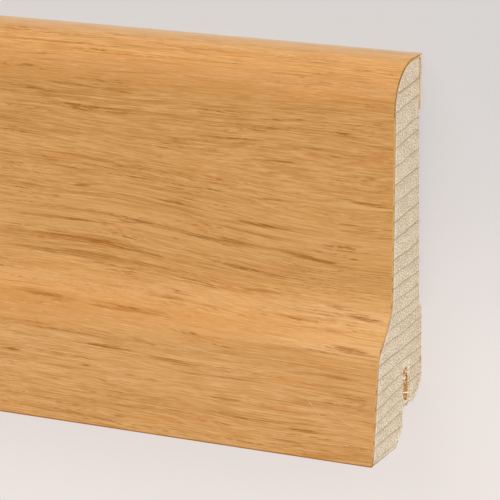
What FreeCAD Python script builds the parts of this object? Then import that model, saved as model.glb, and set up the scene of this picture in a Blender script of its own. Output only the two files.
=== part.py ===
# Oak-veneered skirting board, one trade length.
# A moulded softwood core carries the ogee foot, the hollow back, the clip recess and the clip slot.
# A thin oak veneer is glued over its foot, face and top, and laps a little way down its back.
# The section lies in the YZ plane: Y runs from the foot to the top, Z runs out from the wall, and
# X is the length. The board lies on its wall side, so the wall plane is Z = 0.
import math
import os

import FreeCAD
import Part
import Sketcher

# Driving sizes in millimetres, or in degrees where the name ends in lean.
# Heights are measured up from the foot, depths out from the wall.
SIZES = {
    "board_length": 2200.0,
    "section_height": 58.0,
    "section_depth": 19.0,
    "veneer_thickness": 0.5,
    "foot_lean": 8.4,
    "knee_height": 15.8,
    "cove_height": 21.3,
    "cove_depth": 11.1,
    "face_lean": 2.2,
    "knee_radius": 4.6,
    "cove_radius": 6.9,
    "top_radius": 6.9,
    "back_lean": 3.5,
    "hollow_depth": 1.0,
    "lug_top": 19.2,
    "lug_bottom": 8.1,
    "lug_bevel_depth": 2.5,
    "recess_height": 5.5,
    "recess_depth": 7.3,
    "foot_bevel_height": 2.2,
    "foot_back_depth": 9.9,
    "bevel_radius": 1.5,
    "slot_top": 12.1,
    "slot_depth": 7.0,
    "slot_width": 1.6,
}

# Sizes of the core under its veneer, worked out from the driving ones.
CORE_HEIGHT = "Sizes.section_height - Sizes.veneer_thickness"
CORE_FOOT_DEPTH = "Sizes.section_depth - Sizes.veneer_thickness / cos(Sizes.foot_lean * 1 deg)"
CORE_TOP_BACK = (
    "Sizes.veneer_thickness * (tan(Sizes.back_lean * 1 deg) + 1 / cos(Sizes.back_lean * 1 deg))"
)

# The outside radii are the veneer's. Under it the core is rounder in the cove, tighter elsewhere.
OUTER_RADIUS = {
    "Knee": "Sizes.knee_radius",
    "Cove": "Sizes.cove_radius",
    "TopRound": "Sizes.top_radius",
}
CORE_RADIUS = {
    "Knee": "Sizes.knee_radius - Sizes.veneer_thickness",
    "Cove": "Sizes.cove_radius + Sizes.veneer_thickness",
    "TopRound": "Sizes.top_radius - Sizes.veneer_thickness",
}

# How a sketch numbers its origin, its two axes and the ends of a line.
ORIGIN = (-1, 1)
WALL_AXIS = -1
UNDERSIDE_AXIS = -2
START, END = range(1, 3)

# The lines of the core's section in order, from the front of the foot round to its underside.
# The veneer is glued to the first five.
FOOT, SLOPE, FACE, TOP, BACK = range(5)
HOLLOW, SHOULDER, LUG, LUG_BEVEL, CEILING, RECESS, FOOT_BEVEL, UNDERSIDE = range(5, 13)

# Rounded corners, each named by the line that starts there.
GLUED_CORNERS = {"Knee": SLOPE, "Cove": FACE, "TopRound": TOP}
BEVEL_CORNERS = {"LugHeel": LUG_BEVEL, "LugNose": CEILING, "FootHeel": FOOT_BEVEL}

FINENESS = 1e-4


def make_sheet(doc):
    sheet = doc.addObject("Spreadsheet::Sheet", "Sizes")
    for row, (name, value) in enumerate(SIZES.items(), start=1):
        sheet.set(f"A{row}", name)
        sheet.set(f"B{row}", str(value))
        sheet.setAlias(f"B{row}", name)
    doc.recompute()


def make_body(doc, label):
    body = doc.addObject("PartDesign::Body", label)
    body.Label = label
    body.setExpression("Placement.Base.x", "-Sizes.board_length / 2")
    body.setExpression("Placement.Base.y", "-Sizes.section_height / 2")
    return body


def section_sketch(body, name):
    plane = next(p for p in body.Origin.OriginFeatures if p.Role == "YZ_Plane")
    sketch = body.newObject("Sketcher::SketchObject", name)
    sketch.AttachmentSupport = [(plane, "")]
    sketch.MapMode = "FlatFace"
    return sketch


def add_lines(sketch, corners):
    # Straight lines from corner to corner and back to the first one.
    count = len(corners)
    for start, end in zip(corners, corners[1:] + corners[:1]):
        line = Part.LineSegment(FreeCAD.Vector(*start, 0), FreeCAD.Vector(*end, 0))
        sketch.addGeometry(line, False)
    for line in range(count):
        joined = (line + 1) % count
        sketch.addConstraint(Sketcher.Constraint("Coincident", line, END, joined, START))


def bind(sketch, expression, kind, *arguments):
    # A constraint whose value follows the sheet. The last argument is the value it starts from.
    index = sketch.addConstraint(Sketcher.Constraint(kind, *arguments))
    sketch.setExpression(f"Constraints[{index}]", expression)


def bind_height(sketch, line, end, expression):
    height = sketch.getPoint(line, end).x
    bind(sketch, expression, "DistanceX", *ORIGIN, line, end, height)


def bind_depth(sketch, line, end, expression):
    depth = sketch.getPoint(line, end).y
    bind(sketch, expression, "DistanceY", *ORIGIN, line, end, depth)


def bind_lean(sketch, line, expression):
    run = sketch.getPoint(line, END) - sketch.getPoint(line, START)
    bind(sketch, expression, "Angle", line, math.atan2(run.y, run.x))


def hold(sketch, kind, *arguments):
    sketch.addConstraint(Sketcher.Constraint(kind, *arguments))


def face_corners(cover):
    # Where the sharp corners of the veneered side start out, before the constraints settle them:
    # from the foot round to the end of the lap on the back, under a cover of that thickness.
    foot = math.radians(SIZES["foot_lean"])
    face = math.radians(SIZES["face_lean"])
    back = math.radians(SIZES["back_lean"])
    bare = SIZES["veneer_thickness"] - cover
    top = SIZES["section_height"] - cover
    foot_depth = SIZES["section_depth"] - cover / math.cos(foot)
    knee_depth = foot_depth - SIZES["knee_height"] * math.tan(foot)
    cove_depth = SIZES["cove_depth"] + bare
    top_depth = cove_depth - (top - SIZES["cove_height"]) * math.tan(face)
    lap_height = top - (SIZES["hollow_depth"] - SIZES["veneer_thickness"]) / math.tan(back)
    return [
        (0, foot_depth),
        (SIZES["knee_height"], knee_depth),
        (SIZES["cove_height"], cove_depth),
        (top, top_depth),
        (top, cover),
        (lap_height, SIZES["hollow_depth"] - bare),
    ]


def constrain_glue_line(sketch):
    hold(sketch, "PointOnObject", FOOT, START, UNDERSIDE_AXIS)
    bind_depth(sketch, FOOT, START, CORE_FOOT_DEPTH)
    bind_lean(sketch, FOOT, "-Sizes.foot_lean * 1 deg")
    bind_height(sketch, SLOPE, START, "Sizes.knee_height")
    bind_height(sketch, FACE, START, "Sizes.cove_height")
    bind_depth(sketch, FACE, START, "Sizes.cove_depth")
    bind_lean(sketch, FACE, "-Sizes.face_lean * 1 deg")
    bind_height(sketch, TOP, START, CORE_HEIGHT)
    hold(sketch, "Vertical", TOP)
    bind_depth(sketch, BACK, START, CORE_TOP_BACK)
    bind_lean(sketch, BACK, "180 deg - Sizes.back_lean * 1 deg")
    bind_depth(sketch, BACK, END, "Sizes.hollow_depth")


def constrain_back(sketch):
    # The hollow back, the lug that meets the wall, the clip recess and the underside of the foot.
    hold(sketch, "Horizontal", HOLLOW)
    bind_height(sketch, SHOULDER, START, "Sizes.lug_top + Sizes.hollow_depth")
    hold(sketch, "PointOnObject", LUG, START, WALL_AXIS)
    bind_height(sketch, LUG, START, "Sizes.lug_top")
    hold(sketch, "PointOnObject", LUG_BEVEL, START, WALL_AXIS)
    bind_height(sketch, LUG_BEVEL, START, "Sizes.lug_bottom")
    bind_height(sketch, CEILING, START, "Sizes.recess_height")
    bind_depth(sketch, CEILING, START, "Sizes.lug_bevel_depth")
    hold(sketch, "Vertical", CEILING)
    bind_depth(sketch, RECESS, START, "Sizes.recess_depth")
    hold(sketch, "Horizontal", RECESS)
    bind_height(sketch, FOOT_BEVEL, START, "Sizes.foot_bevel_height")
    hold(sketch, "PointOnObject", UNDERSIDE, START, UNDERSIDE_AXIS)
    bind_depth(sketch, UNDERSIDE, START, "Sizes.foot_back_depth")


def pad_length(body, sketch):
    moulding = body.newObject("PartDesign::Pad", "Moulding")
    moulding.Profile = sketch
    moulding.setExpression("Length", "Sizes.board_length")
    sketch.Visibility = False
    body.Document.recompute()


def runs_through(edge, corner):
    ends = [FreeCAD.Vector(vertex.Y, vertex.Z, 0) for vertex in edge.Vertexes]
    return all(end.isEqual(corner, FINENESS) for end in ends)


def round_corner(body, name, corner, radius):
    # Rounds the long edge that runs through one corner of the section.
    base = body.Tip
    numbered = enumerate(base.Shape.Edges, start=1)
    number = next(number for number, edge in numbered if runs_through(edge, corner))
    fillet = body.newObject("PartDesign::Fillet", name)
    fillet.Base = (base, [f"Edge{number}"])
    fillet.setExpression("Radius", radius)
    body.Document.recompute()


def softwood_core(doc):
    body = make_body(doc, "softwood_core")
    section = section_sketch(body, "CoreSection")
    back_corners = [
        (SIZES["lug_top"] + SIZES["hollow_depth"], SIZES["hollow_depth"]),
        (SIZES["lug_top"], 0),
        (SIZES["lug_bottom"], 0),
        (SIZES["recess_height"], SIZES["lug_bevel_depth"]),
        (SIZES["recess_height"], SIZES["recess_depth"]),
        (SIZES["foot_bevel_height"], SIZES["recess_depth"]),
        (0, SIZES["foot_back_depth"]),
    ]
    add_lines(section, face_corners(SIZES["veneer_thickness"]) + back_corners)
    constrain_glue_line(section)
    constrain_back(section)
    pad_length(body, section)
    for name, line in GLUED_CORNERS.items():
        round_corner(body, name, section.getPoint(line, START), CORE_RADIUS[name])
    for name, line in BEVEL_CORNERS.items():
        round_corner(body, name, section.getPoint(line, START), "Sizes.bevel_radius")
    cut_slot(body)


def cut_slot(body):
    # The saw-cut clip slot runs up into the lug from the ceiling of the recess.
    sketch = section_sketch(body, "SlotSection")
    near = SIZES["slot_depth"] - SIZES["slot_width"]
    add_lines(sketch, [
        (SIZES["recess_height"], near),
        (SIZES["slot_top"], near),
        (SIZES["slot_top"], SIZES["slot_depth"]),
        (SIZES["recess_height"], SIZES["slot_depth"]),
    ])
    near_wall, slot_end, far_wall, mouth = range(4)
    for line in (near_wall, far_wall):
        hold(sketch, "Horizontal", line)
    for line in (slot_end, mouth):
        hold(sketch, "Vertical", line)
    bind_height(sketch, near_wall, START, "Sizes.recess_height")
    bind_height(sketch, slot_end, END, "Sizes.slot_top")
    bind_depth(sketch, near_wall, START, "Sizes.slot_depth - Sizes.slot_width")
    bind_depth(sketch, slot_end, END, "Sizes.slot_depth")
    slot = body.newObject("PartDesign::Pocket", "ClipSlot")
    slot.Profile = sketch
    slot.Type = "ThroughAll"
    slot.Reversed = True
    sketch.Visibility = False
    body.Document.recompute()


def oak_veneer(doc):
    # Its inner lines are the core's glued ones. Its outer lines lie one veneer thickness outside.
    body = make_body(doc, "oak_veneer")
    section = section_sketch(body, "VeneerSection")
    glued_corners = face_corners(SIZES["veneer_thickness"])
    add_lines(section, glued_corners + face_corners(0)[::-1])
    constrain_glue_line(section)
    lap_end, *shown_lines, foot_end = range(BACK + 1, section.GeometryCount)
    hold(section, "Perpendicular", lap_end, BACK)
    hold(section, "PointOnObject", foot_end, START, UNDERSIDE_AXIS)
    shown_by_glued = dict(zip((BACK, TOP, FACE, SLOPE, FOOT), shown_lines))
    skin = SIZES["veneer_thickness"]
    for glued, shown in shown_by_glued.items():
        hold(section, "Parallel", shown, glued)
        bind(section, "Sizes.veneer_thickness", "Distance", glued, START, shown, skin)
    pad_length(body, section)
    for name, glued in GLUED_CORNERS.items():
        glued_corner = section.getPoint(glued, START)
        shown_corner = section.getPoint(shown_by_glued[glued], END)
        round_corner(body, name + "Glued", glued_corner, CORE_RADIUS[name])
        round_corner(body, name, shown_corner, OUTER_RADIUS[name])


def check_shapes(doc):
    for item in doc.Objects:
        faults = {"Invalid", "Error"} & set(item.State)
        if faults:
            raise RuntimeError(f"{item.Label} is {faults}")
    for body in doc.findObjects("PartDesign::Body"):
        if body.Shape.isNull() or not body.Shape.isValid():
            raise RuntimeError(f"{body.Label} has no valid shape")


os.makedirs("parts", exist_ok=True)
document = FreeCAD.newDocument("SkirtingBoard")
make_sheet(document)
softwood_core(document)
oak_veneer(document)
document.recompute()
check_shapes(document)
for part in document.findObjects("PartDesign::Body"):
    part.Shape.exportStep(f"parts/{part.Label}.step")
    print(part.Label, round(part.Shape.Volume), part.Shape.BoundBox)
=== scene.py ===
import math
import random

import bmesh
import bpy
from mathutils import Matrix, Vector


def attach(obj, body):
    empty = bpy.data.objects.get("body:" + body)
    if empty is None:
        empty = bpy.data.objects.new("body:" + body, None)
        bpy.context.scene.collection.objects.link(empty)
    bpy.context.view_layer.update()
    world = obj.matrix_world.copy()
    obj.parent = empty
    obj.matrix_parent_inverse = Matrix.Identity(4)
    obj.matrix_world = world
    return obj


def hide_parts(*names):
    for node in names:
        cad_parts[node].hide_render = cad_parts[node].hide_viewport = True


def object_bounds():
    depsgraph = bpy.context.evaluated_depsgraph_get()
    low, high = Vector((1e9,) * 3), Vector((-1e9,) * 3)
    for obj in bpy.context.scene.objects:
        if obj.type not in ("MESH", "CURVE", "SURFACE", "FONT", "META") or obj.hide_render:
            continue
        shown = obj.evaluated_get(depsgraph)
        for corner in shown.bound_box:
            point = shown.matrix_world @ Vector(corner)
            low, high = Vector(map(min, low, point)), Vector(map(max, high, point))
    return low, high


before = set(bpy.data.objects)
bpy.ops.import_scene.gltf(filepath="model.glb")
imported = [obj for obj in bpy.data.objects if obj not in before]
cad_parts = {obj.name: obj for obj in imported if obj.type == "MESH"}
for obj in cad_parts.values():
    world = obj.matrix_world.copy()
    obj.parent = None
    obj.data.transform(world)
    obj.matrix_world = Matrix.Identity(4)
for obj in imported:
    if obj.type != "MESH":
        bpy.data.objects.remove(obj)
cadLow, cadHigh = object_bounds()
print("frame loaded, its nodes are", sorted(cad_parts))

mm = 0.001
nearEnough = 0.01 * mm


def tint(red, green, blue):
    # A colour as it shows on screen, 0 to 255, made linear
    def straight(value):
        value /= 255
        return value / 12.92 if value <= 0.04045 else ((value + 0.055) / 1.055) ** 2.4
    return (straight(red), straight(green), straight(blue), 1)


def newMaterial(name):
    material = bpy.data.materials.new(name)
    material.use_nodes = True
    material.node_tree.nodes.clear()
    return material, material.node_tree


def addNode(tree, kind, sockets=None, **settings):
    node = tree.nodes.new("ShaderNode" + kind)
    for name, value in settings.items():
        setattr(node, name, value)
    for name, value in (sockets or {}).items():
        if isinstance(value, bpy.types.NodeSocket):
            tree.links.new(value, node.inputs[name])
        else:
            node.inputs[name].default_value = value
    return node


def calc(tree, operation, *values, clamp=False):
    return addNode(tree, "Math", dict(enumerate(values)), operation=operation, use_clamp=clamp).outputs[0]


def times(tree, product, *factors):
    for factor in factors:
        product = calc(tree, "MULTIPLY", product, factor)
    return product


def offMiddle(tree, noise):
    # How far a noise is from its middle value, which it takes along thin lines
    return calc(tree, "ABSOLUTE", calc(tree, "SUBTRACT", noise, 0.5))


def ramp(tree, value, low, high, toLow=0.0, toHigh=1.0, kind="SMOOTHSTEP"):
    sockets = {"Value": value, "From Min": low, "From Max": high, "To Min": toLow, "To Max": toHigh}
    return addNode(tree, "MapRange", sockets, interpolation_type=kind).outputs["Result"]


def blendColours(tree, factor, first, second):
    sockets = {0: factor, 6: first, 7: second}
    return addNode(tree, "Mix", sockets, data_type="RGBA").outputs[2]


def stretched(tree, vector, scale, detail=2.0, roughness=0.5, shift=(0, 0, 0)):
    # Noise whose grains are stretched by the three scales, in grains per millimetre
    scaled = addNode(tree, "VectorMath", {0: vector, 1: scale, 2: shift}, operation="MULTIPLY_ADD")
    sockets = {"Vector": scaled.outputs[0], "Scale": 1.0, "Detail": detail, "Roughness": roughness}
    return addNode(tree, "TexNoise", sockets).outputs["Fac"]


def inMillimetres(tree):
    # The place on the piece, its three parts, and whether the face is a sawn end
    coords = addNode(tree, "TexCoord")
    place = addNode(tree, "VectorMath", {0: coords.outputs["Object"], "Scale": 1 / mm}, operation="SCALE")
    parts = addNode(tree, "SeparateXYZ", {0: place.outputs[0]})
    facing = addNode(tree, "SeparateXYZ", {0: coords.outputs["Normal"]})
    sawn = calc(tree, "GREATER_THAN", calc(tree, "ABSOLUTE", facing.outputs[0]), 0.9)
    return place.outputs[0], parts.outputs, sawn


def finishShader(tree, colour, roughness, bumpHeight, bumpDepth, **sockets):
    bump = addNode(tree, "Bump", {"Height": bumpHeight, "Strength": 1.0, "Distance": bumpDepth})
    shader = addNode(tree, "BsdfPrincipled", {"Base Color": colour, "Roughness": roughness,
                                              "Normal": bump.outputs[0]})
    for name, value in sockets.items():
        shader.inputs[name.replace("_", " ")].default_value = value
    out = addNode(tree, "OutputMaterial")
    tree.links.new(shader.outputs[0], out.inputs["Surface"])


oak = {
    "light": tint(225, 171, 107),
    "dark": tint(193, 131, 62),
    "streak": tint(166, 104, 18),
    # The pores' brown, also used for painted contact shadow on the lower front arris
    "poreAndShade": tint(148, 84, 0),
    "orange": tint(216, 142, 66),
    "fleck": tint(238, 196, 140),
    # Painted shade for the cove
    "paintedCoveShade": tint(203, 149, 84),
    # Painted light on the foot
    "paintedFootLight": tint(228, 175, 114),
    # Painted sheen along the top
    "paintedTopSheen": tint(236, 212, 174),
    "topGrey": tint(190, 176, 160),
    "cutEdge": tint(212, 170, 88),
    "cutFoot": tint(216, 164, 98),
    "cutDark": tint(144, 104, 44),
    "cutOrange": tint(208, 138, 64),
    "cutPale": tint(232, 216, 188),
    "cutTan": tint(212, 166, 112),
    "roughness": 0.48,
    "relief": 0.02 * mm,
    # How strongly each layer of the grain shows
    "share": {"warm": 0.3, "shade": 0.42, "line": 0.4, "dash": 0.62, "dent": 0.42, "fleck": 0.34,
              "paintedContactShade": 0.85},
    # Where the right end lies along the board and how far the grain dips before it, in mm
    "rightEnd": 1100.0,
    "dip": 3.3,
    # The round along the top: how high and how far out its middle lies, and its radius, in mm
    "topRound": (22.1, 3.05, 6.9),
    # Painted light and shade, as slow changes of tone, in mm: the heights between which each fades in and fades
    # out, the part of the length on which its strength changes, its strength before and after, and its colour.
    # They are painted shade on the cove, painted light on the cove's end and on the middle, and painted shade
    # on the slope under the cove and on the top round.
    "patches": [
        ((-15.0, -12.5), (-5.0, -9.0), (1072.0, 1092.0), (0.45, 0.2), "paintedCoveShade"),
        ((-15.0, -12.5), (-5.0, -9.0), (1078.0, 1094.0), (0.0, 0.2), "fleck"),
        ((-3.0, 1.0), (7.0, 2.5), (1072.0, 1092.0), (0.36, 0.36), "light"),
        ((-14.0, -12.5), (-9.5, -11.0), (1084.0, 1040.0), (0.08, 0.55), "dark"),
        ((20.5, 24.5), (28.0, 25.6), (1090.0, 1076.0), (0.35, 0.5), "dark"),
    ],
    # The plainest dark streaks by the right end, in mm: how far from that end and how high their
    # middles lie, their length and width, and their slope in degrees
    "streaks": [
        (52, 21.8, 10, 0.4, -2), (60, 20.9, 8, 0.4, -1), (45, 21.5, 8, 0.5, -3), (15, 20, 3.5, 0.5, -1),
        (57, 20.5, 5, 0.45, -1.5), (8, 18.5, 3.5, 0.45, -9), (9.5, 15, 2.5, 0.4, -3), (17.5, 13.5, 5, 0.4, 1),
        (44, 10, 7, 0.4, -1), (4.5, 8.5, 9, 0.6, -5), (19.5, 7.5, 6, 0.45, 2.5), (51, 6.5, 4, 0.5, 1),
        (7, 5, 7, 0.8, -6), (35.5, 5.5, 6, 0.6, -3), (20.5, 3.5, 12, 0.8, -0.5), (56, 1, 19, 0.6, 0),
        (43.5, 1.5, 6, 0.5, 3), (26, 0.5, 12, 1.0, -5), (14, -0.5, 11, 0.7, -7), (50, -2, 22, 1.5, -2.5),
        (24, -3.5, 7, 0.5, -2.5), (17.5, -4, 6, 0.6, -3), (58, -4.5, 4, 0.6, 1.5), (46, -5.5, 6, 0.5, -3),
        (22, -6.5, 7, 0.4, 0.5), (9, -7.5, 6, 0.6, -4), (4, -8.5, 7, 0.5, -4), (36, -9, 6, 0.4, -1),
        (15.5, -9.5, 9, 0.5, -1.5), (57.5, -10.5, 10, 0.8, -2.5), (41.5, -11, 13, 0.9, -0.5),
        (4, -12.5, 8, 0.8, -4), (6.5, -16.5, 7, 0.6, -3), (44, -16.5, 10, 0.8, 0), (34, -17.5, 9, 0.7, -1.5),
        (60.5, -19, 4, 0.5, 1), (3, -19.5, 6, 0.6, -3), (48, -20, 3, 0.6, -1), (40.5, -20.5, 4, 0.5, -1.5),
        (24, -22, 6, 0.5, -2), (21, -24.5, 14, 0.6, -3), (11, -25, 6, 0.5, -1.5), (14, -27, 5, 0.5, 0),
        (42, -27, 3, 0.6, 0),
    ],
    # How far out the middle of every streak lies and how far it reaches from there, in mm
    "streakDepth": (10.0, 40.0),
}


def bentGrain(tree, point, along, across, out):
    # The grain waves slowly along the board and dips once towards its right end
    wave = stretched(tree, point, (0.011, 0.035, 0.035), 1.0, 0.4)
    ripple = stretched(tree, point, (0.05, 0.12, 0.12), 1.0, 0.5, (3.0, 1.0, 0.0))
    fromMiddle = calc(tree, "POWER", calc(tree, "DIVIDE", calc(tree, "ADD", across, 2.0), 18.0), 2.0)
    nearMiddle = calc(tree, "SUBTRACT", 1.0, fromMiddle, clamp=True)
    dip = times(tree, nearMiddle, ramp(tree, along, 1048.0, 1092.0, 0.0, oak["dip"]))
    rise = calc(tree, "MULTIPLY_ADD", wave, 6.0, calc(tree, "ADD", ripple, dip))
    return addNode(tree, "CombineXYZ", {0: along, 1: calc(tree, "ADD", across, rise), 2: out}).outputs[0]


def tonesAndPaintedLight(tree, grain, along, across, fibre, fine):
    broad = ramp(tree, stretched(tree, grain, (0.012, 0.14, 0.14), 2.0), 0.36, 0.64)
    bands = ramp(tree, stretched(tree, grain, (0.016, 0.8, 0.8), 3.0, 0.6), 0.34, 0.66)
    tone = calc(tree, "MULTIPLY_ADD", broad, 0.08, 0.06)
    tone = calc(tree, "MULTIPLY_ADD", bands, ramp(tree, across, 10.0, 2.0, 0.12, 0.20), tone)
    tone = calc(tree, "MULTIPLY_ADD", fibre, 0.13, tone)
    tone = calc(tree, "MULTIPLY_ADD", fine, ramp(tree, across, -15.0, -11.0, 0.53, 0.60), tone)
    # Painted light: the foot is painted a little paler, standing in for light bounced up onto it from below
    light = blendColours(tree, ramp(tree, across, -13.0, -15.5), oak["light"], oak["paintedFootLight"])
    colour = blendColours(tree, tone, oak["dark"], light)
    # Painted light and shade: each patch lightens or darkens a band of the sheet where light falls on it
    # differently
    for fadeIn, fadeOut, stretch, strength, target in oak["patches"]:
        paintedLightAndShade = times(tree, ramp(tree, across, *fadeIn), ramp(tree, across, *fadeOut),
                      ramp(tree, along, *stretch, *strength))
        colour = blendColours(tree, paintedLightAndShade, colour, oak[target])
    warm = ramp(tree, stretched(tree, grain, (0.05, 0.7, 0.7), 2.0, 0.5, (9.0, 3.0, 0.0)), 0.56, 0.72)
    return blendColours(tree, times(tree, warm, oak["share"]["warm"]), colour, oak["orange"])


def placedStreaks(tree, point):
    # How near a point is to the closest streak of the list: 0 in its middle, 1 at its rim
    nearest = 9.0  # far from all of them
    streakOut, streakReach = oak["streakDepth"]
    for fromEnd, height, length, width, slope in oak["streaks"]:
        spot = addNode(tree, "Mapping", {
            "Vector": point,
            "Location": (oak["rightEnd"] - fromEnd, height, streakOut),
            "Rotation": (0, 0, math.radians(slope)),
            "Scale": (length / 2, width / 2, streakReach),
        }, vector_type="TEXTURE")
        reach = addNode(tree, "VectorMath", {0: spot.outputs[0]}, operation="LENGTH").outputs["Value"]
        nearest = calc(tree, "MINIMUM", nearest, reach)
    return nearest


def darkGrain(tree, point, grain, along, fibre, fine, colour):
    # Dark streaks: scattered ones along the whole board, placed ones by the end that shows most.
    # Each has a soft shade round a thin frayed core.
    share = oak["share"]
    scattered = stretched(tree, grain, (0.028, 0.85, 0.85), 3.0, 0.6, (4.0, 7.0, 0.0))
    scattered = times(tree, ramp(tree, scattered, 0.57, 0.70), ramp(tree, along, 1024.0, 1034.0, 1.0, 0.5))
    nearest = placedStreaks(tree, point)
    frayed = calc(tree, "MULTIPLY_ADD", fibre, 1.1, calc(tree, "SUBTRACT", nearest, 0.55))
    shade = calc(tree, "MAXIMUM", scattered, ramp(tree, frayed, 0.2, 1.1, 1.3, 0.0))
    colour = blendColours(tree, times(tree, shade, share["shade"]), colour, oak["streak"])
    # Long thin grain lines, which come and go
    drift = offMiddle(tree, stretched(tree, grain, (0.018, 1.2, 1.2), 2.0, 0.6, (5.0, 4.0, 0.0)))
    comes = ramp(tree, stretched(tree, grain, (0.03, 0.5, 0.5), 1.0, 0.5, (8.0, 6.0, 0.0)), 0.42, 0.62)
    grainLine = times(tree, ramp(tree, drift, 0.006, 0.045, 1.0, 0.0), comes)
    colour = blendColours(tree, times(tree, grainLine, share["line"]), colour, oak["streak"])
    # and chains of short dark pores along them
    chains = ramp(tree, stretched(tree, grain, (0.06, 0.6, 0.6), 2.0, 0.6, (2.0, 9.0, 0.0)), 0.53, 0.62)
    links = ramp(tree, stretched(tree, grain, (0.75, 4.5, 4.5), 1.0, 0.5, (7.0, 1.0, 0.0)), 0.46, 0.56)
    dashes = times(tree, ramp(tree, drift, 0.008, 0.035, 1.0, 0.0), chains, links)
    colour = blendColours(tree, times(tree, dashes, share["dash"]), colour, oak["poreAndShade"])
    # The core of a streak, with a few hair lines in it of nearly the pores' brown
    torn = calc(tree, "MULTIPLY_ADD", fine, 1.1, calc(tree, "SUBTRACT", nearest, 0.35))
    thin = calc(tree, "MAXIMUM", ramp(tree, torn, 0.05, 0.4, 1.0, 0.0),
                times(tree, scattered, ramp(tree, fine, 0.45, 0.1)))
    thin = times(tree, thin, calc(tree, "MULTIPLY_ADD", links, 0.5, 0.2))
    vein = offMiddle(tree, stretched(tree, grain, (0.02, 1.8, 1.8), 1.0, 0.5, (1.0, 6.0, 0.0)))
    vein = ramp(tree, vein, 0.015, 0.08, 1.0, 0.0)
    inner = calc(tree, "MAXIMUM", ramp(tree, torn, 0.4, 1.3, 1.0, 0.0), scattered)
    hairs = times(tree, inner, vein, calc(tree, "MULTIPLY_ADD", links, 0.32, 0.44))
    return blendColours(tree, calc(tree, "MAXIMUM", thin, hairs), colour, oak["poreAndShade"])


def paintedEdgeSheenAndShade(tree, across, out, colour):
    # Painted sheen makes the top paler towards the wall, a greyer line is painted on its far arris, and painted
    # contact shadow makes the lower front arris dark brown
    onTop = ramp(tree, across, 26.2, 28.2)
    paintedSheen = calc(tree, "MAXIMUM", ramp(tree, out, 6.0, 0.3, 0.0, 0.34, kind="LINEAR"), 0.04)
    colour = blendColours(tree, times(tree, onTop, paintedSheen), colour, oak["paintedTopSheen"])
    farArris = times(tree, onTop, ramp(tree, out, 1.0, 0.5, 0.0, 0.4))
    colour = blendColours(tree, farArris, colour, oak["topGrey"])
    # Painted contact shadow along the lower front arris
    paintedContactShade = ramp(tree, across, -28.72, -28.92)
    return blendColours(tree, times(tree, paintedContactShade, oak["share"]["paintedContactShade"]), colour, oak["poreAndShade"])


def sawnEdge(tree, point, across, out):
    # The sawn edge of the sheet at the two ends: golden down the front with painted contact shadow at its
    # lowest part, a thin dark line with orange specks round the top, and pale on the lap
    edgeTone = stretched(tree, point, (1.0, 0.7, 0.7), 2.0, 0.6)
    edge = blendColours(tree, ramp(tree, across, -4.0, -12.0), oak["cutEdge"], oak["cutFoot"])
    # Dark patches of the edge, and painted contact shadow along its lowest part
    edgeDark = calc(tree, "MAXIMUM", ramp(tree, edgeTone, 0.52, 0.64, 0.0, 0.7),
                    ramp(tree, across, -28.0, -28.7))
    edge = blendColours(tree, edgeDark, edge, oak["cutDark"])
    specks = ramp(tree, stretched(tree, point, (1.0, 2.4, 2.4), 1.0, 0.5, (1.0, 2.0, 3.0)), 0.53, 0.62)
    middleUp, middleOut, radius = oak["topRound"]
    spoke = addNode(tree, "CombineXYZ", {
        1: calc(tree, "SUBTRACT", across, middleUp),
        2: calc(tree, "MAXIMUM", calc(tree, "SUBTRACT", out, middleOut), 0.0),
    }).outputs[0]
    fromAxis = addNode(tree, "VectorMath", {0: spoke}, operation="LENGTH").outputs["Value"]
    depth = calc(tree, "SUBTRACT", radius, fromAxis)
    outerLine = blendColours(tree, specks, oak["cutDark"], oak["cutOrange"])
    topEdge = blendColours(tree, ramp(tree, depth, 0.12, 0.24), outerLine, oak["cutTan"])
    edge = blendColours(tree, ramp(tree, across, 20.5, 22.5), edge, topEdge)
    speckled = times(tree, specks, ramp(tree, across, 25.0, 26.5, 0.05, 0.8))
    lapEdge = blendColours(tree, speckled, oak["cutPale"], oak["cutOrange"])
    return blendColours(tree, ramp(tree, out, 0.9, 0.6), edge, lapEdge)


def oakMaterial():
    material, tree = newMaterial("lacqueredOak")
    point, (along, across, out), cut = inMillimetres(tree)
    grain = bentGrain(tree, point, along, across, out)
    fibre = ramp(tree, stretched(tree, grain, (0.04, 2.4, 2.4), 3.0, 0.75), 0.36, 0.64, kind="LINEAR")
    fine = ramp(tree, stretched(tree, grain, (0.22, 5.5, 5.5), 2.0, 0.75), 0.39, 0.61, kind="LINEAR")
    colour = tonesAndPaintedLight(tree, grain, along, across, fibre, fine)
    colour = darkGrain(tree, point, grain, along, fibre, fine, colour)

    pores = ramp(tree, stretched(tree, grain, (0.75, 7.0, 7.0), 1.5, 0.5, (2.0, 5.0, 0.0)), 0.58, 0.66)
    gathered = ramp(tree, stretched(tree, grain, (0.05, 0.6, 0.6), 2.0, 0.5, (1.0, 8.0, 0.0)), 0.50, 0.64)
    dents = times(tree, pores, gathered)
    colour = blendColours(tree, times(tree, dents, oak["share"]["dent"]), colour, oak["poreAndShade"])
    flecks = ramp(tree, stretched(tree, grain, (0.30, 5.0, 5.0), 2.0, 0.6, (6.0, 2.0, 0.0)), 0.58, 0.72)
    colour = blendColours(tree, times(tree, flecks, oak["share"]["fleck"]), colour, oak["fleck"])

    colour = paintedEdgeSheenAndShade(tree, across, out, colour)
    colour = blendColours(tree, cut, colour, sawnEdge(tree, point, across, out))
    height = calc(tree, "SUBTRACT", times(tree, fibre, 0.5), dents)
    roughness = calc(tree, "MULTIPLY_ADD", fine, 0.08, oak["roughness"])
    finishShader(tree, colour, roughness, height, oak["relief"],
                 Specular_IOR_Level=0.12, Coat_Weight=0.15, Coat_Roughness=0.3)
    return material


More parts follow.
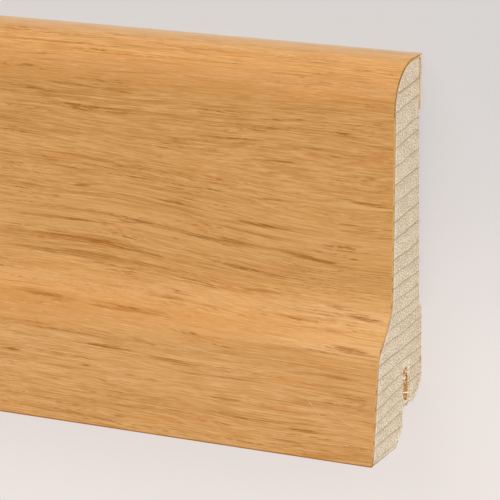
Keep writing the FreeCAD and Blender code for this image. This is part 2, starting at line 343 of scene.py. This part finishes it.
softwood = {
    "base": tint(224, 206, 178),
    "light": tint(250, 240, 220),
    "dark": tint(166, 146, 116),
    "ring": tint(150, 120, 82),
    "resin": tint(186, 124, 52),
    "rim": tint(232, 213, 196),
    # Painted shade along the lowest edge of the sawn end
    "foot": tint(150, 114, 62),
    "glue": tint(144, 108, 60),
    "gluePale": tint(184, 142, 88),
    "glueOrange": tint(192, 134, 72),
    "glueSpot": tint(116, 82, 44),
    # How dark the cut cells are on the ends, on their rim, and beside that on the long sides
    "speckle": 0.85,
    "rimSpeckle": 0.3,
    "sideShare": 0.35,
    "roughness": 0.78,
    "relief": 0.08 * mm,
    "glueRoughness": 0.5,
    "glueRelief": 0.02 * mm,
    "glueWidth": 0.3 * mm,
    "rimWidth": 0.6 * mm,
    "endSink": 0.05 * mm,
    # How far the underside lies below the middle, in mm
    "underside": 29.0,
    # The rings lie nearly square to the back, a little more askew towards the top, and sway a little
    "leanLow": 0.021,
    "leanGain": 0.00108,
    "sway": 1.2,
    # Widths of the yearly rings from the foot to the top, in mm
    "ringWidths": [0.9, 2.1, 2.0, 1.9, 2.0, 2.05, 2.2, 2.0, 2.5, 1.8, 1.7, 2.1, 2.1, 2.2, 2.25, 3.3, 2.7, 2.7,
                   2.6, 2.8, 2.9, 1.95, 3.25, 2.5, 9.0],
}


def yearlyRings(tree, point, across, out):
    # The number of rings from the foot up to a point, by a curve through the widths' sums
    height = calc(tree, "ADD", across, softwood["underside"])
    lean = calc(tree, "MULTIPLY_ADD", height, softwood["leanGain"], softwood["leanLow"])
    sway = calc(tree, "SUBTRACT", stretched(tree, point, (0.003, 0.12, 0.12), 2.0), 0.5)
    leaning = calc(tree, "MULTIPLY_ADD", out, lean, height)
    ringPlace = calc(tree, "MULTIPLY_ADD", sway, softwood["sway"], leaning)
    total = sum(softwood["ringWidths"])
    count = len(softwood["ringWidths"])
    curve = addNode(tree, "FloatCurve", {"Value": calc(tree, "DIVIDE", ringPlace, total)})
    line = curve.mapping.curves[0]
    reached = 0.0
    for number, width in enumerate(softwood["ringWidths"][:-1], start=1):
        reached += width
        line.points.new(reached / total, number / count)
    for dot in line.points:
        dot.handle_type = "VECTOR"
    curve.mapping.update()
    return times(tree, curve.outputs[0], float(count))


def softwoodMaterial(name, rim=False):
    material, tree = newMaterial(name)
    point, parts, cut = inMillimetres(tree)
    across, out = parts[1], parts[2]
    ringNumber = yearlyRings(tree, point, across, out)
    share = calc(tree, "FRACT", ringNumber)
    nearest = calc(tree, "MINIMUM", share, calc(tree, "SUBTRACT", 1.0, share))
    ringLine = ramp(tree, nearest, 0.008, 0.046, 1.0, 0.0)
    late = times(tree, calc(tree, "POWER", share, 5.0), 0.2)
    whichRing = calc(tree, "ROUND", ringNumber)
    chance = addNode(tree, "TexWhiteNoise", {"W": whichRing}, noise_dimensions="1D").outputs["Value"]

    grains = stretched(tree, point, (0.05, 5.0, 2.8), 2.0, 0.75)
    patches = stretched(tree, point, (0.02, 0.6, 0.4), 2.0, 0.5)
    base, speckle = softwood["base"], softwood["speckle"]
    if rim:  # the paler rim fades out round the top and on the back
        fade = calc(tree, "MAXIMUM", ramp(tree, across, 20.0, 22.5), ramp(tree, out, 2.0, 1.2))
        base = blendColours(tree, fade, softwood["rim"], base)
        speckle = calc(tree, "MULTIPLY_ADD", fade, speckle - softwood["rimSpeckle"], softwood["rimSpeckle"])
    colour = blendColours(tree, ramp(tree, grains, 0.50, 0.62), base, softwood["light"])
    shown = calc(tree, "MULTIPLY_ADD", cut, 1.0 - softwood["sideShare"], softwood["sideShare"])
    darkGrains = times(tree, ramp(tree, grains, 0.49, 0.37), speckle, shown)
    colour = blendColours(tree, darkGrains, colour, softwood["dark"])
    colour = blendColours(tree, ramp(tree, patches, 0.4, 0.66, 0.0, 0.2), colour, softwood["dark"])
    colour = blendColours(tree, late, colour, softwood["ring"])
    # Some rings are orange with resin, more of them towards the top
    likely = calc(tree, "MULTIPLY_ADD", ramp(tree, across, 4.0, 14.0), 0.5, chance)
    orange = times(tree, ramp(tree, likely, 0.62, 0.95), ramp(tree, patches, 0.36, 0.55, 0.35, 1.0))
    resin = blendColours(tree, orange, softwood["ring"], softwood["resin"])
    strength = times(tree, ringLine, calc(tree, "MULTIPLY_ADD", chance, 0.35, 0.5))
    colour = blendColours(tree, strength, colour, resin)
    # Painted shade: the lowest edge of the sawn end is darkened brown, more towards the front
    lowest = calc(tree, "MULTIPLY_ADD", ramp(tree, out, 18.0, 12.0), 0.15, across)
    paintedFootShade = times(tree, ramp(tree, lowest, -28.6, -28.95), ramp(tree, grains, 0.35, 0.55, 0.45, 0.95), cut)
    colour = blendColours(tree, paintedFootShade, colour, softwood["foot"])

    relief = calc(tree, "SUBTRACT", times(tree, grains, 1.5), times(tree, ringLine, 0.3))
    finishShader(tree, colour, softwood["roughness"], relief, softwood["relief"], Specular_IOR_Level=0.2)
    return material


def glueMaterial():
    material, tree = newMaterial("driedGlue")
    # Brown down the front, hardly seen round the top, broken on the lap
    point, parts = inMillimetres(tree)[:2]
    across, out = parts[1], parts[2]
    blots = stretched(tree, point, (1.0, 0.8, 0.8), 3.0, 0.6)
    colour = blendColours(tree, ramp(tree, blots, 0.4, 0.65), softwood["glue"], softwood["gluePale"])
    hidden = ramp(tree, across, 21.0, 22.8)
    lapGlue = blendColours(tree, ramp(tree, blots, 0.50, 0.62), softwood["glueOrange"], softwood["glueSpot"])
    lapGlue = blendColours(tree, ramp(tree, across, 26.0, 23.6, 0.2, 0.75), lapGlue, softwood["rim"])
    topGlue = blendColours(tree, ramp(tree, out, 1.2, 0.9), softwood["base"], lapGlue)
    onLap = ramp(tree, out, 1.4, 1.0)
    colour = blendColours(tree, calc(tree, "MAXIMUM", hidden, onLap), colour, topGlue)
    finishShader(tree, colour, softwood["glueRoughness"], blots, softwood["glueRelief"],
                 Specular_IOR_Level=0.3)
    return material


def touches(edge, veneer, reach):
    # Whether the middle of an edge lies as near the veneer as this
    middle = (edge.verts[0].co + edge.verts[1].co) / 2
    found, spot = veneer.closest_point_on_mesh(middle)[:2]
    return found and (spot - middle).length < reach


def buildCore(veneer):
    # A merged copy of the core, whose end faces get a glue line and a pale rim
    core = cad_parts["softwood_core"].copy()
    core.data = core.data.copy()
    core.name = "softwoodCore"
    core.data.name = "softwoodCore"
    core.parent = None
    for key in list(core.keys()):
        if key.startswith("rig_"):
            del core[key]
    bpy.context.collection.objects.link(core)
    bpy.ops.object.select_all(action="DESELECT")
    core.select_set(True)
    bpy.context.view_layer.objects.active = core
    bpy.ops.mesh.customdata_custom_splitnormals_clear()
    core.data.materials.clear()
    core.data.materials.append(softwoodMaterial("sawnSoftwood"))
    core.data.materials.append(glueMaterial())
    core.data.materials.append(softwoodMaterial("softwoodRim", rim=True))
    bpy.ops.object.mode_set(mode="EDIT")
    bpy.ops.mesh.select_all(action="SELECT")
    bpy.ops.mesh.remove_doubles(threshold=0.001 * mm)
    bpy.ops.mesh.dissolve_limited(angle_limit=math.radians(0.05))
    # Each inset leaves a ring of faces, of which those by the veneer get the next material
    insets = ((softwood["glueWidth"], 0.02 * mm), (softwood["rimWidth"], softwood["glueWidth"] * 1.2))
    for side in (-1, 1):
        bpy.ops.mesh.select_all(action="DESELECT")
        net = bmesh.from_edit_mesh(core.data)
        for face in net.faces:
            if face.normal.x * side > 0.99:
                face.select_set(True)
        bmesh.update_edit_mesh(core.data)
        for ringMaterial, (width, reach) in enumerate(insets, start=1):
            bpy.ops.mesh.inset(thickness=width, use_even_offset=True)
            net = bmesh.from_edit_mesh(core.data)
            for face in net.faces:
                if face.normal.x * side > 0.99 and not face.select and face.material_index == 0:
                    if any(touches(edge, veneer, reach) for edge in face.edges):
                        face.material_index = ringMaterial
            bmesh.update_edit_mesh(core.data)
    bpy.ops.object.mode_set(mode="OBJECT")
    core.hide_render = False
    core.hide_viewport = False
    bpy.ops.object.shade_smooth_by_angle(angle=math.radians(25))
    for face in core.data.polygons:  # the sawn ends are flat
        if abs(face.normal.x) > 0.9:
            face.use_smooth = False
    # They are sunk a little behind the sheet's ends, so that loose fibres can lie on them
    for dot in core.data.vertices:
        if abs(dot.co.x) > cadHigh.x - nearEnough:
            dot.co.x -= math.copysign(softwood["endSink"], dot.co.x)
        for axis in range(3):
            dot.co[axis] = min(max(dot.co[axis], cadLow[axis]), cadHigh[axis])
    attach(core, "root")
    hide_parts("softwood_core")
    return core


fibres = {
    "seed": 4,
    "thickness": 0.11 * mm,
    "length": 1.0 * mm,
    "bends": [18, 50, 95],
    "sides": 5,
    "steps": 5,
    "taper": 0.86,
    "roughness": 0.7,
    "relief": 0.01 * mm,
    # How far all of them stay inside the board's own box
    "margin": 0.002 * mm,
    # The clip slot as it shows at the end: its lowest and highest corner across and out
    "slotLow": (-23.5 * mm, 5.4 * mm),
    "slotHigh": (-16.9 * mm, 7.0 * mm),
    "dustDepth": 0.2 * mm,
    "dustThickness": 0.4 * mm,
    "dustCuts": 11,
    "dustLumps": 0.08 * mm,
    "fuzzCount": 90,
    "fuzzPale": tint(238, 200, 138),
    "fuzzDeep": tint(174, 114, 48),
    "dustPale": tint(224, 176, 98),
    "dustDeep": tint(150, 96, 34),
    "tuftPale": tint(255, 252, 242),
    "tuftDeep": tint(244, 228, 198),
    "whiskerPale": tint(240, 206, 172),
    "whiskerDeep": tint(224, 176, 128),
    # Patches round the slot's mouth: how far across, how far out, and how many, in mm
    "mouth": [
        ("brown", (-21.5, -19.3), (4.4, 5.5), 46), ("brown", (-22.6, -21.9), (4.7, 5.6), 16),
        ("brown", (-21.4, -19.3), (6.9, 7.4), 26), ("brown", (-19.2, -18.6), (5.2, 5.7), 6),
        ("pale", (-17.4, -16.6), (4.7, 7.4), 54), ("pale", (-18.9, -17.4), (4.5, 5.7), 30),
        ("pale", (-19.15, -18.95), (6.2, 7.1), 15), ("pale", (-22.9, -19.8), (6.75, 7.1), 7),
        ("pale", (-22.4, -18.9), (3.7, 4.5), 34), ("pale", (-23.2, -22.7), (4.4, 7.3), 44),
        ("pale", (-22.2, -21.95), (5.2, 5.6), 3),
    ],
    # Straight fibres that bridge the slot: across and out, where they point, and how long, in mm
    "bridge": [
        (-21.95, 4.8, (0, 0.32, 1), 2.4), (-21.17, 7.3, (0, -0.32, -1), 2.0),
        (-21.85, 4.8, (0, 0.32, 1), 2.4), (-21.07, 7.3, (0, -0.32, -1), 2.0),
    ],
    "bridgeSlim": 1.4,
    # Orange crumbs on the lug: across, out and how many, then how far they spread and their size
    "crumbs": [
        (-19.1, 0.3, 5), (-18.4, 0.6, 4), (-17.7, 0.6, 3), (-21.0, 1.1, 4), (-21.6, 1.7, 5),
        (-18.9, 4.3, 3), (-22.9, 4.7, 3),
    ],
    "crumbSpread": 0.25,
    "crumbSize": (0.3, 2.4),
    # Frayed corners of the lug, its bevel and the heel: across, out, how far spread and how many
    "frayed": [
        (-9.4, 0.7, 0.5, 8), (-20.2, 0.7, 0.6, 12), (-21.8, 1.8, 0.6, 14), (-22.9, 3.2, 0.5, 12),
        (-23.2, 4.6, 0.4, 8), (-26.6, 7.9, 0.6, 24), (-27.6, 8.9, 0.5, 24), (-28.4, 9.8, 0.4, 12),
        (-23.6, 7.5, 0.3, 6), (-10.5, 0.3, 0.5, 5), (-14.0, 0.2, 1.5, 6),
    ],
    # Single long fibres: start, end and thickness beside the others
    "whiskers": [
        ((1089.3, -20.4, 17.76), (1093.1, -24.1, 18.30), 0.7),
        ((1092.9, -21.7, 17.95), (1097.4, -23.9, 18.28), 0.7),
        ((1095.6, -26.3, 18.62), (1096.5, -26.4, 18.64), 1.0),
        ((1097.4, -26.5, 18.65), (1098.1, -26.6, 18.66), 1.2),
        ((1099.2, -26.6, 18.66), (1099.8, -26.9, 18.70), 1.0),
        ((1099.9, 3.4, 1.2), (1099.95, 3.8, 0.1), 0.7),
        ((1099.9, -2.6, 1.2), (1099.95, -2.5, 0.05), 0.8),
    ],
    "whiskerRoll": 0.6,
}


def fibreMaterial(name, pale, deep):
    material, tree = newMaterial(name)
    tone = stretched(tree, inMillimetres(tree)[0], (1.6, 3.0, 3.0), 2.0, 0.7)
    colour = blendColours(tree, ramp(tree, tone, 0.38, 0.62), deep, pale)
    finishShader(tree, colour, fibres["roughness"], tone, fibres["relief"], Specular_IOR_Level=0.25)
    return material


def makeStrand(bend):
    # A tapering curved fibre that grows upwards from the origin
    bpy.ops.object.select_all(action="DESELECT")
    bpy.ops.mesh.primitive_circle_add(vertices=fibres["sides"], radius=fibres["thickness"] / 2,
                                      fill_type="NGON")
    strand = bpy.context.object
    bpy.ops.object.mode_set(mode="EDIT")
    bpy.ops.mesh.select_all(action="SELECT")
    tip = Vector((0, 0, 0))
    stride = fibres["length"] / fibres["steps"]
    for step in range(fibres["steps"]):
        angle = math.radians(bend) * step / fibres["steps"]
        move = Vector((0, -math.sin(angle), math.cos(angle))) * stride
        bpy.ops.mesh.extrude_region_move(TRANSFORM_OT_translate={"value": move})
        tip += move
        bpy.ops.transform.resize(value=(fibres["taper"],) * 3, center_override=tip)
        bpy.ops.transform.rotate(value=-math.radians(bend) / fibres["steps"], orient_axis="X",
                                 center_override=tip)
    bpy.ops.mesh.select_all(action="SELECT")
    bpy.ops.mesh.normals_make_consistent(inside=False)
    bpy.ops.object.mode_set(mode="OBJECT")
    bpy.ops.object.shade_smooth()
    return strand


def laidStrand(source, place, aim, roll, size, slim):
    strand = source.copy()
    strand.data = source.data.copy()
    bpy.context.collection.objects.link(strand)
    turn = Vector(aim).to_track_quat("Z", "X").to_matrix().to_4x4() @ Matrix.Rotation(roll, 4, "Z")
    scale = Matrix.Diagonal((slim, slim, size, 1))
    strand.data.transform(Matrix.Translation(place) @ turn @ scale)
    return strand


def heldInside(piece):
    # Moves a strand that stands out of the board's own box back into it
    shift = Vector((0, 0, 0))
    for axis in range(3):
        least = min(dot.co[axis] for dot in piece.data.vertices)
        most = max(dot.co[axis] for dot in piece.data.vertices)
        shift[axis] = max(cadLow[axis] + fibres["margin"] - least, 0)
        shift[axis] += min(cadHigh[axis] - fibres["margin"] - most, 0)
    piece.data.transform(Matrix.Translation(shift))


def joined(name, pieces, material):
    # One piece of many strands
    bpy.ops.object.select_all(action="DESELECT")
    for piece in pieces:
        heldInside(piece)
        piece.select_set(True)
    bpy.context.view_layer.objects.active = pieces[0]
    bpy.ops.object.join()
    whole = bpy.context.object
    whole.name = name
    whole.data.name = name
    whole.data.materials.clear()
    whole.data.materials.append(material)
    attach(whole, "root")


def slotDust(side):
    # Packed saw dust a little way inside the slot's mouth, with a lumpy front
    chance = random.Random(fibres["seed"])
    low, high = fibres["slotLow"], fibres["slotHigh"]
    front = cadHigh.x - fibres["dustDepth"]
    size = (fibres["dustThickness"], high[0] - low[0], high[1] - low[1])
    bpy.ops.object.select_all(action="DESELECT")
    place = (side * (front - size[0] / 2), (low[0] + high[0]) / 2, (low[1] + high[1]) / 2)
    bpy.ops.mesh.primitive_cube_add(size=1, location=place, scale=size)
    dust = bpy.context.object
    bpy.ops.object.transform_apply(location=True, rotation=True, scale=True)
    bpy.ops.object.mode_set(mode="EDIT")
    bpy.ops.mesh.select_all(action="SELECT")
    bpy.ops.mesh.subdivide(number_cuts=fibres["dustCuts"])
    bpy.ops.object.mode_set(mode="OBJECT")
    for dot in dust.data.vertices:
        if abs(dot.co.x) > front - nearEnough:
            dot.co.x += side * chance.uniform(-1, 1) * fibres["dustLumps"]
    bpy.ops.object.shade_smooth()
    return dust


def buildFibres():
    chance = random.Random(fibres["seed"])
    strands = [makeStrand(bend) for bend in fibres["bends"]]
    straight = makeStrand(0)
    low, high = fibres["slotLow"], fibres["slotHigh"]
    dust, fuzz, tufts, crumbs = [], [], [], []

    def spread(*ends):
        return [chance.uniform(a, b) for a, b in ends]

    def lay(group, place, aim, size, slim=1.0):
        source, roll = chance.choice(strands), chance.uniform(0, 2 * math.pi)
        group.append(laidStrand(source, place, aim, roll, size, slim))

    for side in (1, -1):
        end = side * cadHigh.x
        dust.append(slotDust(side))
        for number in range(fibres["fuzzCount"]):
            depth, across, out = spread((0.04 * mm, 0.3 * mm), (low[0], high[0]), (low[1], high[1]))
            aim = spread((-0.3, 0.6), (-1, 1), (-1, 1))
            aim[0] *= side
            lay(fuzz, (end - side * depth, across, out), aim, chance.uniform(0.3, 0.8))
        # Brown and pale fibres lie on the end grain round the mouth of the slot
        for group, acrossEnds, outEnds, many in fibres["mouth"]:
            for number in range(many):
                depth, across, out, up, over = spread((0.02, 0.09), acrossEnds, outEnds, (-1, 1), (-1, 1))
                place = (end - side * depth * mm, across * mm, out * mm)
                lay(fuzz if group == "brown" else tufts, place, (side * 0.1, up, over),
                    chance.uniform(0.25, 0.55), chance.uniform(1.2, 2.4))
        for across, out, aim, size in fibres["bridge"]:
            place = (end - side * 0.06 * mm, across * mm, out * mm)
            tufts.append(laidStrand(straight, place, aim, 0.0, size, fibres["bridgeSlim"]))
        for across, out, many in fibres["crumbs"]:
            for number in range(many):
                room = fibres["crumbSpread"]
                depth, up, over = spread((0.02, 0.06), (-room, room), (-room, room))
                place = (end - side * depth * mm, (across + up) * mm, (out + over) * mm)
                aim = (0, chance.uniform(-1, 1), chance.uniform(-1, 1))
                crumbs.append(laidStrand(straight, place, aim, 0.0, *fibres["crumbSize"]))
        for across, out, room, many in fibres["frayed"]:
            for number in range(many):
                place = (end - side * chance.uniform(0.02, 0.25) * mm,
                         (across + chance.uniform(-room, room)) * mm,
                         (out + chance.uniform(-0.3, 0.3) * room) * mm)
                aim = (side * chance.uniform(-0.2, 0.3), chance.uniform(-1, 0.4), chance.uniform(-1, 0.2))
                lay(tufts, place, aim, chance.uniform(0.3, 0.9), chance.uniform(1.0, 2.2))
    whiskers = []
    for start, finish, slim in fibres["whiskers"]:
        begin, stop = Vector(start) * mm, Vector(finish) * mm
        size = (stop - begin).length / fibres["length"]
        whiskers.append(laidStrand(strands[0], begin, stop - begin, fibres["whiskerRoll"], size, slim))
    joined("slotDust", dust + crumbs, fibreMaterial("packedDust", fibres["dustPale"], fibres["dustDeep"]))
    joined("slotFuzz", fuzz, fibreMaterial("brownFuzz", fibres["fuzzPale"], fibres["fuzzDeep"]))
    joined("paleTufts", tufts, fibreMaterial("paleFibre", fibres["tuftPale"], fibres["tuftDeep"]))
    joined("looseWhiskers", whiskers, fibreMaterial("looseFibre", fibres["whiskerPale"], fibres["whiskerDeep"]))
    for strand in (*strands, straight):
        bpy.data.objects.remove(strand)


studio = {
    # In metres: the floor's size, and where along the board its painted shade, a darker and cooler patch, has
    # its middle
    "floorSize": 60.0,
    "paintedShadeAt": 1.08,
    # Colours of the painted shade on the floor and of the plain floor
    "floorTop": tint(218, 214, 212),
    "floorFoot": tint(242, 233, 228),
    # How much of the floor's shade the camera sees
    "shadowShare": 0.22,
    "key": {"towards": (-0.30, 0.66, 0.69), "strength": 1.35, "angle": 40},
    "fill": {"towards": (0.80, 0.45, 0.40), "strength": 1.9, "angle": 60},
    "world": 0.38,
}


def buildFloor():
    bpy.ops.mesh.primitive_plane_add(size=studio["floorSize"], location=(0, 0, 0))
    floor = bpy.context.object
    floor.name = "floor"
    material, tree = newMaterial("paleFloor")
    parts = addNode(tree, "SeparateXYZ", {0: addNode(tree, "TexCoord").outputs["Object"]}).outputs
    # Plain, with a painted shade, darker and a little cooler, above the end that the camera looks at
    fromEnd = calc(tree, "ABSOLUTE", calc(tree, "SUBTRACT", parts[0], studio["paintedShadeAt"]))
    paintedFloorShade = times(tree, ramp(tree, parts[1], -0.040, 0.030), ramp(tree, parts[1], 0.60, 0.06),
                 ramp(tree, fromEnd, 0.60, 0.10))
    shown = blendColours(tree, paintedFloorShade, studio["floorFoot"], studio["floorTop"])
    plain = addNode(tree, "BsdfDiffuse", {"Color": shown})
    glow = addNode(tree, "Emission", {"Color": shown, "Strength": 1.0})
    rays = addNode(tree, "LightPath").outputs
    seen = calc(tree, "MAXIMUM", rays["Is Camera Ray"], rays["Is Glossy Ray"])
    share = times(tree, seen, 1.0 - studio["shadowShare"])
    mix = addNode(tree, "MixShader", {0: share, 1: plain.outputs[0], 2: glow.outputs[0]})
    out = addNode(tree, "OutputMaterial")
    tree.links.new(mix.outputs[0], out.inputs["Surface"])
    floor.data.materials.append(material)


def addSun(name, towards, strength, angle):
    bpy.ops.object.light_add(type="SUN", location=(0, 0, 2))
    lamp = bpy.context.object
    lamp.name = name
    lamp.rotation_mode = "QUATERNION"
    lamp.rotation_quaternion = Vector(towards).to_track_quat("Z", "Y")
    lamp.data.energy = strength
    lamp.data.angle = math.radians(angle)


def buildStudio():
    buildFloor()
    addSun("keyLamp", **studio["key"])
    addSun("fillLamp", **studio["fill"])
    world = bpy.data.worlds.new("softRoom")
    bpy.context.scene.world = world
    world.use_nodes = True
    back = world.node_tree.nodes["Background"]
    back.inputs["Color"].default_value = (1, 1, 1, 1)
    back.inputs["Strength"].default_value = studio["world"]
    bpy.context.scene.view_settings.view_transform = "Standard"


# The photo's own view: place in metres, turn in degrees, lens and sensor in mm
view = {
    "place": (1.26601, 0.12687, 0.40045),
    "turn": (-16.805, 25.656, -0.903),
    "lens": 218.3,
    "sensor": 36,
}


def buildCamera():
    turn = [math.radians(angle) for angle in view["turn"]]
    bpy.ops.object.camera_add(location=view["place"], rotation=turn)
    camera = bpy.context.object
    camera.name = "photoCamera"
    camera.data.lens = view["lens"]
    camera.data.sensor_width = view["sensor"]
    camera.data.clip_start = 0.01
    camera.data.clip_end = 200
    bpy.context.scene.camera = camera


buildCamera()
print("camera placed")
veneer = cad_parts["oak_veneer"]
veneer.data.materials.clear()
veneer.data.materials.append(oakMaterial())
print("oak veneer finished,", len(veneer.data.polygons), "faces")
core = buildCore(veneer)
print("core finished,", len(core.data.polygons), "faces")
buildFibres()
print("torn fibres laid")
buildStudio()
print("studio lit")
